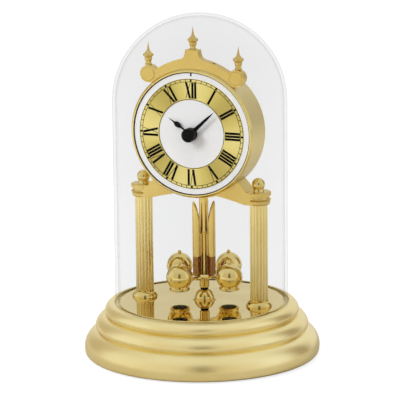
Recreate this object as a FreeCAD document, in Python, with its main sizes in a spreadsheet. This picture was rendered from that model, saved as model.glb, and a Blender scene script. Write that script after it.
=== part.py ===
"""Anniversary clock under a glass dome, with a quartz movement and a turning pendulum.

Millimetres, +Z up.  The origin is the centre of the base where it stands on the table.
The dial faces -Y.  A sub-part of the drum is drawn in a front frame, whose x is the
clock's X, whose y is the clock's Z and whose z is the distance in front of the column
plane, which is the clock's -Y.
"""
import FreeCAD, Part
import math
import os
import re
import Sketcher

V = FreeCAD.Vector
doc = FreeCAD.newDocument("AnniversaryClock")
sheet = doc.addObject("Spreadsheet::Sheet", "Dims")

# ---------------------------------------------------------------- driving dimensions
DIMS = {
    # base
    "foot_h": 1.2, "foot_rad": 6.0, "foot_circle": 61.0, "skin": 1.6,
    "base_rad": 76.0, "edge_rad": 74.0, "widest_z": 4.0,
    "low_notch_rad": 68.0, "low_notch_z": 17.5, "high_notch_rad": 61.8, "high_notch_z": 27.1,
    "rim_rad": 57.5, "rim_bore": 56.4, "rim_z": 35.1, "groove_z": 33.6, "floor_t": 1.5,
    "plate_rad": 53.6, "plate_z": 34.8, "cover_rad": 71.6, "cover_t": 1.2,
    "boss_circle": 52.0, "boss_rad": 4.0, "screw_rad": 1.4,
    # glass dome
    "dome_rad": 55.9, "dome_wall": 1.9, "dome_top_z": 222.2,
    # columns and bridge
    "column_x": 39.7, "column_rad": 5.75, "column_bore": 2.3, "flute_rad": 0.95,
    "flute_out": 0.12, "flutes": 16, "column_top_z": 101.7, "column_foot_h": 4.2,
    "column_foot_rad": 8.5, "rod_rad": 2.0, "cap_rad": 8.1, "cap_top_z": 109.8,
    "ball_rad": 4.2, "ball_z": 114.3, "bridge_depth": 14.4, "saddle_t": 1.5,
    "bridge_screw_x": 22.0, "bridge_screw_z": 106.2, "arm_end_x": 33.6,
    # drum and dial
    "drum_z": 147.1, "drum_rad": 41.5, "drum_wall": 1.1, "drum_front": 14.0, "drum_rear": 6.5,
    "bezel_front": 15.5, "bezel_bore": 39.7, "dial_rad": 39.85, "dial_front": 14.5,
    "dial_t": 0.6, "back_t": 1.5, "chapter_in": 22.0, "chapter_out": 35.5, "chapter_t": 0.25,
    "back_screw_circle": 33.5,
    # crest and finials
    "crest_t": 6.0, "crest_front": 13.4, "lobe_x": 29.8, "lobe_z": 184.0, "lobe_rad": 5.5,
    "notch_x": 25.2, "notch_z": 187.015, "crest_root_x": 27.2, "crest_root_up": 31.38,
    "pedestal_z": 200.6, "finial_h": 15.0, "side_finial_x": 30.65, "side_finial_z": 189.52,
    "finial_y": -10.4, "crest_screw_x": 14.0,
    # hands
    "hub_rad": 4.4, "minute_len": 22.5, "hour_len": 17.9, "hand_t": 0.4,
    "minute_angle": 47.0, "hour_angle": 303.5,
    # movement
    "case_w": 56.0, "case_up": 26.0, "case_wall": 1.1, "case_front": 12.3, "case_depth": 14.9,
    "motion_dist": 10.8, "third_dist": 9.0, "seconds_dist": 8.5,
    "third_angle": 160.0, "seconds_angle": 130.0, "arbor_rad": 0.5,
    "cell_rad": 7.1, "cell_len": 50.0, "cell_drop": 17.6, "cell_front": 4.0, "cell_wall_u": 10.1,
    "knob_rad": 5.0, "door_w": 46.0, "door_low": 25.0, "door_high": 9.5,
    # pendulum
    "swing_y": 4.9, "tube_rad": 3.0, "stem_rad": 2.45, "tube_foot_rad": 3.2, "tube_top_z": 111.0,
    "tube_step_z": 78.6, "quill_rad": 2.6, "quill_bore": 2.1, "quill_circle": 6.8, "quill_tip_z": 98.2,
    "quill_low_z": 79.0, "block_top_z": 64.3, "block_low_z": 52.2, "flange_rad": 7.5,
    "arm_angle": -23.0, "arm_z": 49.8, "weight_circle": 22.6, "weight_rad": 8.5, "weight_z": 53.2,
    "guide_rad": 6.6, "guide_h": 6.57, "bush_rad": 2.6, "drive_w": 17.0, "drive_low_z": 108.2,
    "drive_top_z": 121.0,
    # gear modules
    "train_module": 0.25, "minute_module": 0.45, "hour_module": 0.432,
}
for row, (alias, size) in enumerate(DIMS.items(), start=1):
    sheet.set("A%d" % row, alias.replace("_", " "))
    sheet.set("B%d" % row, str(size))
    sheet.setAlias("B%d" % row, alias)
doc.recompute()

nodes = {}          # node name -> document object that is exported


def bound(expr):
    """The expression with the spreadsheet's name before each alias."""
    return re.sub(r"[a-z]\w*", lambda word: "Dims." + word[0] if word[0] in DIMS else word[0], str(expr))


def size_of(expr):
    """The expression's present value, in millimetres or degrees."""
    return float(sheet.evalExpression(bound(expr).replace("Dims.", "")))


def node(label, item):
    """Name a finished sub-part, so that it is exported."""
    item.Label = label
    nodes[label] = item
    return item


def place(item, x=0, y=0, z=0, front=False, spin=0):
    """Bind an object's place to the sheet; front turns its z towards -Y, spin turns it about Z."""
    turn = FreeCAD.Rotation(V(1, 0, 0), 90) if front else FreeCAD.Rotation(V(0, 0, 1), spin)
    item.Placement = FreeCAD.Placement(V(0, 0, 0), turn)
    for axis, expr in (("x", x), ("y", y), ("z", z)):
        if str(expr) != "0":
            item.setExpression("Placement.Base." + axis, bound(expr))
    return item


def arc_between(start, end, radius, side):
    """Arc from start to end that bulges to the left (+1) or the right (-1) of the way there."""
    way = end - start
    left = V(-way.y, way.x, 0).normalize()
    depth = math.sqrt(max(radius ** 2 - way.Length ** 2 / 4, 0))
    centre = (start + end) * 0.5 - left * (side * depth)
    first, last = (end, start) if side > 0 else (start, end)
    begin = math.atan2(first.y - centre.y, first.x - centre.x)
    finish = math.atan2(last.y - centre.y, last.x - centre.x)
    if finish < begin:
        finish += 2 * math.pi
    return Part.ArcOfCircle(Part.Circle(centre, V(0, 0, 1), radius), begin, finish)


def sketch(body, role, outline):
    """A closed sketch on an origin plane of the body.

    Each corner is (x, y), or (x, y, radius, side) when the way to it from the corner
    before is an arc.  Every corner and every radius is bound to the sheet.
    """
    drawing = body.newObject("Sketcher::SketchObject", body.Name + "_sketch")
    plane = [item for item in body.Origin.OriginFeatures if item.Role == role][0]
    drawing.AttachmentSupport = [(plane, "")]
    drawing.MapMode = "FlatFace"
    corners = [V(size_of(corner[0]), size_of(corner[1]), 0) for corner in outline]
    ends = []
    for index, corner in enumerate(corners):
        target = outline[(index + 1) % len(outline)]
        after = corners[(index + 1) % len(corners)]
        if len(target) == 4:
            drawing.addGeometry(arc_between(corner, after, size_of(target[2]), target[3]))
            ends.append((2, 1) if target[3] > 0 else (1, 2))
        else:
            drawing.addGeometry(Part.LineSegment(corner, after))
            ends.append((1, 2))
    for index, corner in enumerate(outline):
        before = index - 1 if index else len(outline) - 1
        drawing.addConstraint(Sketcher.Constraint(
            "Coincident", before, ends[before][1], index, ends[index][0]))
        for kind, expr in (("DistanceX", corner[0]), ("DistanceY", corner[1])):
            number = drawing.addConstraint(Sketcher.Constraint(
                kind, -1, 1, index, ends[index][0], size_of(expr)))
            drawing.setExpression("Constraints[%d]" % number, bound(expr))
        if len(corner) == 4:
            number = drawing.addConstraint(Sketcher.Constraint("Radius", before, size_of(corner[2])))
            drawing.setExpression("Constraints[%d]" % number, bound(corner[2]))
    return drawing


def new_body(name):
    """An empty PartDesign body."""
    return doc.addObject("PartDesign::Body", name)


def turned(name, outline):
    """A body turned about its own z axis from an outline of (radius, z) corners."""
    body = new_body(name)
    drawing = sketch(body, "XZ_Plane", outline)
    turn = body.newObject("PartDesign::Revolution", name + "_turned")
    turn.Profile = drawing
    turn.ReferenceAxis = (drawing, ["V_Axis"])
    turn.Angle = 360
    drawing.Visibility = False
    return body


def ring(name, outer, inner, low, high):
    """A turned tube or washer between two heights."""
    return turned(name, [(inner, low), (outer, low), (outer, high), (inner, high)])


def disc(name, outer, low, high):
    """A turned solid disc or rod between two heights."""
    return ring(name, outer, 0, low, high)


def padded(name, outline, length, role="XY_Plane"):
    """A body padded from an outline, square to its plane."""
    body = new_body(name)
    pad = body.newObject("PartDesign::Pad", name + "_pad")
    pad.Profile = sketch(body, role, outline)
    pad.setExpression("Length", bound(length))
    return body


def box(name, length, width, height, x, y, z):
    """A box whose lowest corner is at x, y, z."""
    item = doc.addObject("Part::Box", name)
    for side, expr in (("Length", length), ("Width", width), ("Height", height)):
        item.setExpression(side, bound(expr))
    return place(item, x, y, z)


def cylinder(name, radius, height, x=0, y=0, z=0, along="Z"):
    """A cylinder that starts at x, y, z and runs along +X, +Y or +Z."""
    item = doc.addObject("Part::Cylinder", name)
    item.setExpression("Radius", bound(radius))
    item.setExpression("Height", bound(height))
    place(item, x, y, z)
    turn = {"X": FreeCAD.Rotation(V(0, 1, 0), 90), "Y": FreeCAD.Rotation(V(1, 0, 0), -90),
            "Z": FreeCAD.Rotation()}[along]
    item.Placement = FreeCAD.Placement(item.Placement.Base, turn)
    return item


def fused(name, items):
    """One solid from several that touch or overlap."""
    item = doc.addObject("Part::MultiFuse", name)
    item.Shapes = items
    item.Refine = True
    return item


def cut(name, base, tools):
    """The base with each tool taken out of it."""
    item = doc.addObject("Part::Cut", name)
    item.Base = base
    item.Tool = tools[0] if len(tools) == 1 else fused(name + "_tools", tools)
    item.Refine = True
    return item


def group(label, items):
    """Identical separate pieces that share one node."""
    item = doc.addObject("Part::Compound", label + "_group")
    item.Links = items
    return node(label, item)


def gear_wire(teeth, module):
    """Closed outline of a clock wheel: straight-sided teeth with rounded-off, narrow tips."""
    pitch = teeth * module / 2
    tip, root = pitch + 0.8 * module, pitch - 1.15 * module
    half = math.pi / teeth * 0.42
    corners = []
    for tooth in range(teeth):
        middle = 2 * math.pi * tooth / teeth
        for radius, offset in ((root, -0.75 * half), (pitch, -half), (tip, -0.35 * half),
                               (tip, 0.35 * half), (pitch, half), (root, 0.75 * half)):
            angle = middle + offset
            corners.append(V(radius * math.cos(angle), radius * math.sin(angle), 0))
    return Part.makePolygon(corners + corners[:1])


def wheel_solid(teeth, module, bore, front, thick, spin=0):
    """A toothed wheel in the front frame, whose front face is at the given distance."""
    blank = Part.Face(gear_wire(teeth, module)).extrude(V(0, 0, thick))
    solid = blank.cut(Part.makeCylinder(bore, thick * 3, V(0, 0, -thick))) if bore else blank
    solid.rotate(V(0, 0, 0), V(0, 0, 1), spin)
    solid.translate(V(0, 0, front - thick))
    return solid


def mesh_spin(teeth, spin, way, other):
    """The spin that puts a gap of the other wheel, which stands at angle way, on this wheel's tooth."""
    phase = (way - spin) / 360 * teeth
    return way + 180 - 360 / other * (0.5 - phase % 1)


def front_feature(label, shape, x, z):
    """A node whose shape is drawn in the front frame about the axis at x, z."""
    item = doc.addObject("Part::Feature", label)
    item.Shape = shape.removeSplitter()
    return node(label, place(item, x, 0, z, front=True))


def circles(body, radii, x=0, y=0):
    """A sketch of circles about one centre on the body's XY plane."""
    drawing = body.newObject("Sketcher::SketchObject", body.Name + "_circles")
    plane = [item for item in body.Origin.OriginFeatures if item.Role == "XY_Plane"][0]
    drawing.AttachmentSupport = [(plane, "")]
    drawing.MapMode = "FlatFace"
    for index, radius in enumerate(radii):
        drawing.addGeometry(Part.Circle(V(size_of(x), size_of(y), 0), V(0, 0, 1), size_of(radius)))
        for kind, expr in (("DistanceX", x), ("DistanceY", y)):
            number = drawing.addConstraint(Sketcher.Constraint(kind, -1, 1, index, 3, size_of(expr)))
            drawing.setExpression("Constraints[%d]" % number, bound(expr))
        number = drawing.addConstraint(Sketcher.Constraint("Radius", index, size_of(radius)))
        drawing.setExpression("Constraints[%d]" % number, bound(radius))
    return drawing


def pad_circles(body, radii, length):
    """Pad a disc, or a tube of two circles, from the body's XY plane."""
    pad = body.newObject("PartDesign::Pad", body.Name + "_pad")
    pad.Profile = circles(body, radii)
    pad.setExpression("Length", bound(length))
    return pad


def cut_flutes(body, shaft, length):
    """Cut one round flute down the side of a shaft and repeat it all the way round."""
    doc.recompute()
    flute = body.newObject("PartDesign::Pocket", body.Name + "_flute")
    flute.Profile = circles(body, ["flute_rad"], "column_rad + flute_out", 0)
    flute.Reversed = True
    flute.setExpression("Length", bound(length))
    doc.recompute()
    if flute.Shape.Volume >= shaft.Shape.Volume:
        raise RuntimeError("the flute cuts nothing from " + body.Name)
    pattern = body.newObject("PartDesign::PolarPattern", body.Name + "_flutes")
    pattern.Originals = [flute]
    pattern.Axis = ([item for item in body.Origin.OriginFeatures if item.Role == "Z_Axis"][0], [""])
    pattern.Angle = 360
    pattern.setExpression("Occurrences", bound("flutes"))
    body.Tip = pattern
    return pattern


def hex_nut(name, radius, bore, thick):
    """A hexagonal nut or washer with a plain bore, standing on its own z = 0."""
    nut = doc.addObject("Part::Prism", name + "_blank")
    nut.Polygon = 6
    nut.setExpression("Circumradius", bound(radius))
    nut.setExpression("Height", bound(thick))
    return cut(name, nut, [cylinder(name + "_bore", bore, "%s + 2" % thick, 0, 0, -1)])


def on_circle(circle, degrees):
    """The two coordinates of a spot on a circle about the origin."""
    angle = math.radians(degrees)
    return "%s * %.6f" % (circle, math.cos(angle)), "%s * %.6f" % (circle, math.sin(angle))


SIDES = (("left", -1), ("right", 1))


# ---------------------------------------------------------------- base
def make_base():
    """Three rounded steps, the polished plate, the underside cover and its feet."""
    shell = turned("base_shell_blank", [
        (0, "groove_z - floor_t"), ("high_notch_rad - 4.4", "groove_z - floor_t"),
        ("high_notch_rad - 2.2", "high_notch_z"), ("low_notch_rad - 3.2", "high_notch_z - 3"),
        ("low_notch_rad - 2", "low_notch_z - 0.5"), ("base_rad - skin", "low_notch_z - 8"),
        ("base_rad - skin", "widest_z"), ("edge_rad - 0.9", "foot_h"),
        ("edge_rad", "foot_h - 0.2"), ("base_rad", "widest_z", 3, -1),
        ("low_notch_rad", "low_notch_z", 12.4, -1), ("low_notch_rad + 0.8", "low_notch_z + 3.2", 4, -1),
        ("high_notch_rad", "high_notch_z", 8.2, -1),
        ("high_notch_rad + 0.9", "high_notch_z + 3.4", 4.2, -1), ("rim_rad", "rim_z", 6.6, -1),
        ("rim_bore + 0.2", "rim_z"), ("rim_bore", "rim_z - 0.2"), ("rim_bore", "groove_z"),
        (0, "groove_z")])
    spots = [on_circle("boss_circle", 90 + 120 * number) for number in range(3)]
    bosses, holes = [], []
    for number, (x, y) in enumerate(spots):
        bosses.append(cylinder("boss_%d" % number, "boss_rad", "groove_z - foot_h - cover_t - 0.6",
                               x, y, "foot_h + cover_t"))
        holes.append(cylinder("boss_hole_%d" % number, "screw_rad + 0.05", 12, x, y, "foot_h"))
    for name, side in SIDES:
        holes.append(cylinder("shell_rod_hole_" + name, "rod_rad + 0.15", 8,
                              "column_x * %d" % side, 0, "groove_z - 5"))
    holes.append(cylinder("shell_guide_hole", 1.6, 8, 0, "swing_y", "groove_z - 5"))
    node("base_shell", cut("base_shell_cut", fused("base_shell_body", [shell] + bosses), holes))

    plate = turned("top_plate_blank", [
        (0, "groove_z"), ("plate_rad", "groove_z"), ("plate_rad", "plate_z - 0.4"),
        ("plate_rad - 0.4", "plate_z"), (0, "plate_z")])
    plate_holes = []
    for name, side in SIDES:
        plate_holes.append(cylinder("plate_rod_hole_" + name, "rod_rad + 0.15", 6,
                                    "column_x * %d" % side, 0, "groove_z - 2"))
    plate_holes.append(cylinder("plate_guide_hole", 1.6, 6, 0, "swing_y", "groove_z - 2"))
    node("top_plate", cut("top_plate_cut", plate, plate_holes))

    cover_holes, screws = [], []
    for number, (x, y) in enumerate(spots):
        cover_holes.append(cylinder("cover_hole_%d" % number, "screw_rad + 0.1", 4, x, y, 0))
        screws.append(place(turned("cover_screw_%d" % number, [
            (0, 0.3), (2.4, 0.3), (2.8, 0.8), (2.8, "foot_h"), ("screw_rad", "foot_h"),
            ("screw_rad", "foot_h + 9"), (0, "foot_h + 9")]), x, y))
    cover = disc("base_cover_blank", "cover_rad", "foot_h", "foot_h + cover_t")
    node("base_cover", cut("base_cover_cut", cover, cover_holes))
    group("cover_screws", screws)
    feet = []
    for number in range(4):
        pad = turned("foot_pad_%d" % number, [
            (0, 0), ("foot_rad - 0.4", 0), ("foot_rad", 0.4), ("foot_rad", "foot_h"), (0, "foot_h")])
        feet.append(place(pad, *on_circle("foot_circle", 45 + 90 * number)))
    group("foot_pads", feet)


def make_glass_dome():
    """Clear cylinder closed by a hemisphere; it stands in the groove round the plate."""
    shoulder = "dome_top_z - dome_rad"
    inner = "dome_rad - dome_wall"
    node("glass_dome", turned("glass_dome_body", [
        (inner, "groove_z + 0.3"), (inner + " + 0.3", "groove_z"), ("dome_rad - 0.3", "groove_z"),
        ("dome_rad", "groove_z + 0.3"), ("dome_rad", shoulder), (0, "dome_top_z", "dome_rad", -1),
        (0, "dome_top_z - dome_wall"), (inner, shoulder, inner, 1)]))


# ---------------------------------------------------------------- columns and bridge
def make_columns():
    """Two fluted tubes on turned feet, drawn together by rods with ball nuts."""
    rods, balls, nuts = [], [], []
    for name, side in SIDES:
        x = "column_x * %d" % side
        column = new_body(name + "_column_body")
        length = "column_top_z - plate_z - column_foot_h"
        shaft = pad_circles(column, ["column_rad", "column_bore"], length)
        cut_flutes(column, shaft, length)
        node(name + "_column", place(column, x, 0, "plate_z + column_foot_h"))
        foot = turned(name + "_column_foot_body", [
            ("column_bore", 0), ("column_foot_rad", 0), ("column_foot_rad - 1.9", 3.3, 3.6, -1),
            ("column_foot_rad - 2.3", 3.4), ("column_foot_rad - 2.3", "column_foot_h"),
            ("column_bore", "column_foot_h")])
        node(name + "_column_foot", place(foot, x, 0, "plate_z"))
        rods.append(place(disc("tie_rod_" + name, "rod_rad", "groove_z - floor_t - 4.5",
                               "cap_top_z + 3"), x))
        balls.append(place(turned("ball_nut_" + name, [
            ("rod_rad + 0.1", "cap_top_z"), (3.7, "cap_top_z"), (3.5, "cap_top_z + 0.9"),
            (3.2, "ball_z - 2.72"), ("ball_rad", "ball_z", "ball_rad", -1),
            (0, "ball_z + ball_rad", "ball_rad", -1),
            (0, "cap_top_z + 3.1"), ("rod_rad + 0.1", "cap_top_z + 3.1")]), x))
        nuts.append(place(hex_nut("rod_nut_" + name, 4.0, "rod_rad + 0.1", 3.2), x, 0,
                          "groove_z - floor_t - 3.2"))
    group("tie_rods", rods)
    group("ball_nuts", balls)
    group("rod_nuts", nuts)


def make_bridge():
    """One casting: the arched bridge with a turned capital at each end and a saddle band."""
    half = "bridge_depth / 2"
    under = "drum_rad + 0.05"
    arms, bores = [], []
    for name, side in SIDES:
        outline = [("%d * (column_x - 1)" % side, "cap_top_z - drum_z"),
                   ("%d * (arm_end_x + 0.2)" % side, "cap_top_z - drum_z"),
                   ("%d * 28.1" % side, "0 - 30.6"),
                   ("%d * 11" % side, "0 - 40.1", under, side),
                   ("%d * 13" % side, "0 - 40.6"),
                   ("%d * 27" % side, "103.4 - drum_z"),
                   ("%d * arm_end_x" % side, "column_top_z - drum_z", 24, -side),
                   ("%d * (column_x - 1)" % side, "column_top_z - drum_z")]
        arm = padded(name + "_arm", outline, "bridge_depth")
        arms.append(place(arm, 0, half, "drum_z", front=True))
        capital = turned(name + "_capital", [
            (0, "column_top_z"), ("cap_rad - 1.2", "column_top_z"),
            ("cap_rad - 0.6", "column_top_z + 0.9"), ("cap_rad - 0.6", "column_top_z + 1.8"),
            ("cap_rad", "column_top_z + 3.2", 1.7, 1), ("cap_rad - 1.2", "column_top_z + 4.7", 2, 1),
            ("cap_rad - 1.2", "column_top_z + 5.5"), ("cap_rad", "column_top_z + 5.9"),
            ("cap_rad", "cap_top_z - 0.5"), ("cap_rad - 0.5", "cap_top_z"), (0, "cap_top_z")])
        arms.append(place(capital, "column_x * %d" % side))
        bores.append(cylinder(name + "_rod_bore", "rod_rad + 0.15", 12, "column_x * %d" % side, 0,
                              "column_top_z - 1"))
    band = ring("saddle_ring", "drum_rad + saddle_t", under, "0 - bridge_depth / 2", half)
    place(band, 0, 0, "drum_z", front=True)
    keep = box("saddle_keep", 36, "bridge_depth", 12, -18, "0 - bridge_depth / 2", "drum_z - 46")
    saddle = doc.addObject("Part::Common", "saddle_band")
    saddle.Base = band
    saddle.Tool = keep
    bores.append(cylinder("tube_clearance", "tube_rad + 0.8", 12, 0, "swing_y", "drum_z - 50"))
    for name, side in SIDES:
        bores.append(cylinder("bridge_screw_hole_" + name, "screw_rad + 0.1", 20,
                              "bridge_screw_x * %d" % side, 0, "bridge_screw_z - 0.3"))
    node("bridge", cut("bridge_cut", fused("bridge_body", arms + [saddle]), bores))


# ---------------------------------------------------------------- drum, dial and crest
def make_drum():
    """The round case with its bezel, dial, back and the screws that hold them."""
    inner = "drum_rad - drum_wall"
    shell = turned("drum_case_blank", [
        (inner, "0 - drum_rear"), ("drum_rad", "0 - drum_rear"), ("drum_rad", "drum_front"),
        (inner, "drum_front"), (inner, "dial_front - dial_t"), (inner + " - 1.8", "dial_front - dial_t"),
        (inner + " - 1.8", "dial_front - dial_t - 1"), (inner, "dial_front - dial_t - 1")])
    place(shell, 0, 0, "drum_z", front=True)
    tube_hole = cylinder("drum_tube_hole", "tube_rad + 0.7", 8, 0, "swing_y", "drum_z - 44")
    holes = [tube_hole]
    for name, side in SIDES:
        holes.append(cylinder("drum_screw_hole_" + name, "screw_rad + 0.1", 12,
                              "bridge_screw_x * %d" % side, 0, "bridge_screw_z"))
        holes.append(cylinder("drum_crest_hole_" + name, 1.1, 12,
                              "crest_screw_x * %d" % side, "finial_y", "drum_z + 34"))
    node("drum_case", cut("drum_case_cut", shell, holes))

    bezel = turned("bezel_body", [
        ("dial_rad + 0.1", "drum_front"), ("drum_rad", "drum_front"),
        ("drum_rad - 0.9", "bezel_front - 0.3"), ("drum_rad - 1.2", "bezel_front"),
        ("bezel_bore + 0.2", "bezel_front"), ("bezel_bore", "bezel_front - 0.2"),
        ("bezel_bore", "dial_front + 0.1"),
        ("dial_rad + 0.1", "dial_front + 0.1")])
    node("bezel", place(bezel, 0, 0, "drum_z", front=True))
    dial = ring("dial_plate_body", "dial_rad", 2.9, "dial_front - dial_t", "dial_front")
    node("dial_plate", place(dial, 0, 0, "drum_z", front=True))
    chapter = ring("chapter_ring_body", "chapter_out", "chapter_in", "dial_front",
                   "dial_front + chapter_t")
    node("chapter_ring", place(chapter, 0, 0, "drum_z", front=True))

    back = place(disc("drum_back_blank", "drum_rad", "0 - drum_rear - back_t", "0 - drum_rear"),
                 0, 0, "drum_z", front=True)
    rim = place(ring("drum_back_rim", inner + " - 0.1", inner + " - 1.6", "0 - drum_rear",
                     "2.5 - drum_rear"), 0, 0, "drum_z", front=True)
    door = box("door_opening", "door_w + 0.6", 4, "door_low - door_high + 0.6", "0 - door_w / 2 - 0.3",
               "drum_rear - 1", "drum_z - door_low - 0.3")
    knob = cylinder("knob_opening", "knob_rad + 0.6", 4, 0, "drum_rear - 1", "drum_z + motion_dist", "Y")
    notch = box("drive_opening", "drive_w + 0.6", 12, "drive_top_z + 0.3 - 100",
                "0 - drive_w / 2 - 0.3", 2, 100)
    openings, screws = [], []
    for number, turn in enumerate((28, 152, 208, 332)):
        x, up = on_circle("back_screw_circle", turn)
        z = "drum_z + " + up
        openings.append(cylinder("back_hole_%d" % number, "screw_rad + 0.1", 4, x, "drum_rear - 1", z, "Y"))
        screws.append(place(turned("back_screw_%d" % number, [
            (0, "0 - drum_rear - back_t - 1"), (2.2, "0 - drum_rear - back_t - 1"),
            (2.6, "0 - drum_rear - back_t - 0.6"), (2.6, "0 - drum_rear - back_t"),
            ("screw_rad", "0 - drum_rear - back_t"), ("screw_rad", "3 - drum_rear"),
            (0, "3 - drum_rear")]), x, 0, z, front=True))
    node("drum_back", cut("drum_back_cut", fused("drum_back_body", [back, rim]),
                          [notch, door, knob] + openings))
    group("back_screws", screws)
    group("bridge_screws", [place(turned("bridge_screw_" + name, [
        (0, 0), ("screw_rad", 0), ("screw_rad", 9), (2.4, 9), (2.4, 10.2), (0, 10.2)]),
        "bridge_screw_x * %d" % side, 0, "bridge_screw_z") for name, side in SIDES])


FINIALS = (("left_finial", "0 - side_finial_x", "side_finial_z"),
           ("centre_finial", 0, "pedestal_z"),
           ("right_finial", "side_finial_x", "side_finial_z"))


def make_crest():
    """The scrolled plate over the drum and its three turned finials."""
    half = [("notch_x", "notch_z - drum_z"),
            ("lobe_x + lobe_rad", "lobe_z - drum_z", "lobe_rad", 1),
            ("lobe_x", "lobe_z - lobe_rad - drum_z", "lobe_rad", 1), ("crest_root_x", "crest_root_up")]
    outline = [("0 - 4.4", "pedestal_z - drum_z", 9, -1), (4.4, "pedestal_z - drum_z"),
               (5.4, "196 - drum_z", 9, -1), (9.0, "194 - drum_z", 6, -1),
               (21.6, "189 - drum_z", 45, 1)] + half + [
               ("0 - crest_root_x", "crest_root_up", "drum_rad + 0.03", -1),
               ("0 - lobe_x", "lobe_z - lobe_rad - drum_z"),
               ("0 - lobe_x - lobe_rad", "lobe_z - drum_z", "lobe_rad", 1),
               ("0 - notch_x", "notch_z - drum_z", "lobe_rad", 1), ("0 - 21.6", "189 - drum_z"),
               ("0 - 9.0", "194 - drum_z", 45, 1), ("0 - 5.4", "196 - drum_z", 6, -1)]
    plate = place(padded("crest_plate", outline, "crest_t"), 0, "crest_t - crest_front", "drum_z",
                  front=True)
    pieces, holes, screws = [plate], [], []
    for name, side in SIDES:
        roundel = turned("roundel_" + name, [
            (0, "crest_front - 0.5"), ("lobe_rad - 1", "crest_front - 0.5"),
            ("lobe_rad - 1", "crest_front + 0.2"), ("lobe_rad - 1.3", "crest_front + 0.5"),
            (0, "crest_front + 0.5")])
        pieces.append(place(roundel, "lobe_x * %d" % side, 0, "lobe_z", front=True))
        x = "crest_screw_x * %d" % side
        holes.append(cylinder("crest_hole_" + name, 1.1, 12, x, "finial_y", "drum_z + 34"))
        screws.append(place(turned("crest_screw_" + name, [
            (0, 0), (2, 0), (2, 1), (1, 1), (1, 8), (0, 8)]), x, "finial_y", "drum_z + 35.6"))
    for name, x, foot in FINIALS:
        holes.append(cylinder(name + "_socket", 0.85, 6, x, "finial_y", "%s - 3.3" % foot))
    node("crest", cut("crest_cut", fused("crest_body", pieces), holes))
    group("crest_screws", screws)
    for name, x, foot in FINIALS:
        finial = turned(name + "_body", [
            (0, -3), (0.8, -3), (0.8, 0), (2.3, 0), (2.3, 0.6), (1.8, 1.1), (1.9, 1.9),
            (2.4, 3.3, 3, 1), (2.4, 4.4), (2.1, 5), (3.2, 5.6, 1.2, -1), (3.4, 6.4, 0.9, -1),
            (3.0, 7.1, 0.9, -1), (1.7, 8.2, 3.4, 1), (0.9, 9.7, 3.6, 1), (0.5, 11.6), (0, "finial_h")])
        node(name, place(finial, x, "finial_y", foot))


# ---------------------------------------------------------------- movement
def arbor_spot(x, z, distance, angle):
    """Where the next arbor stands, at a distance and angle from the one before."""
    turn = math.radians(DIMS[angle])
    return ("%s + %s * %.6f" % (x, distance, math.cos(turn)),
            "%s + %s * %.6f" % (z, distance, math.sin(turn)))


THIRD = arbor_spot("0", "drum_z", "third_dist", "third_angle")
SECONDS = arbor_spot(THIRD[0], THIRD[1], "seconds_dist", "seconds_angle")


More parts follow.
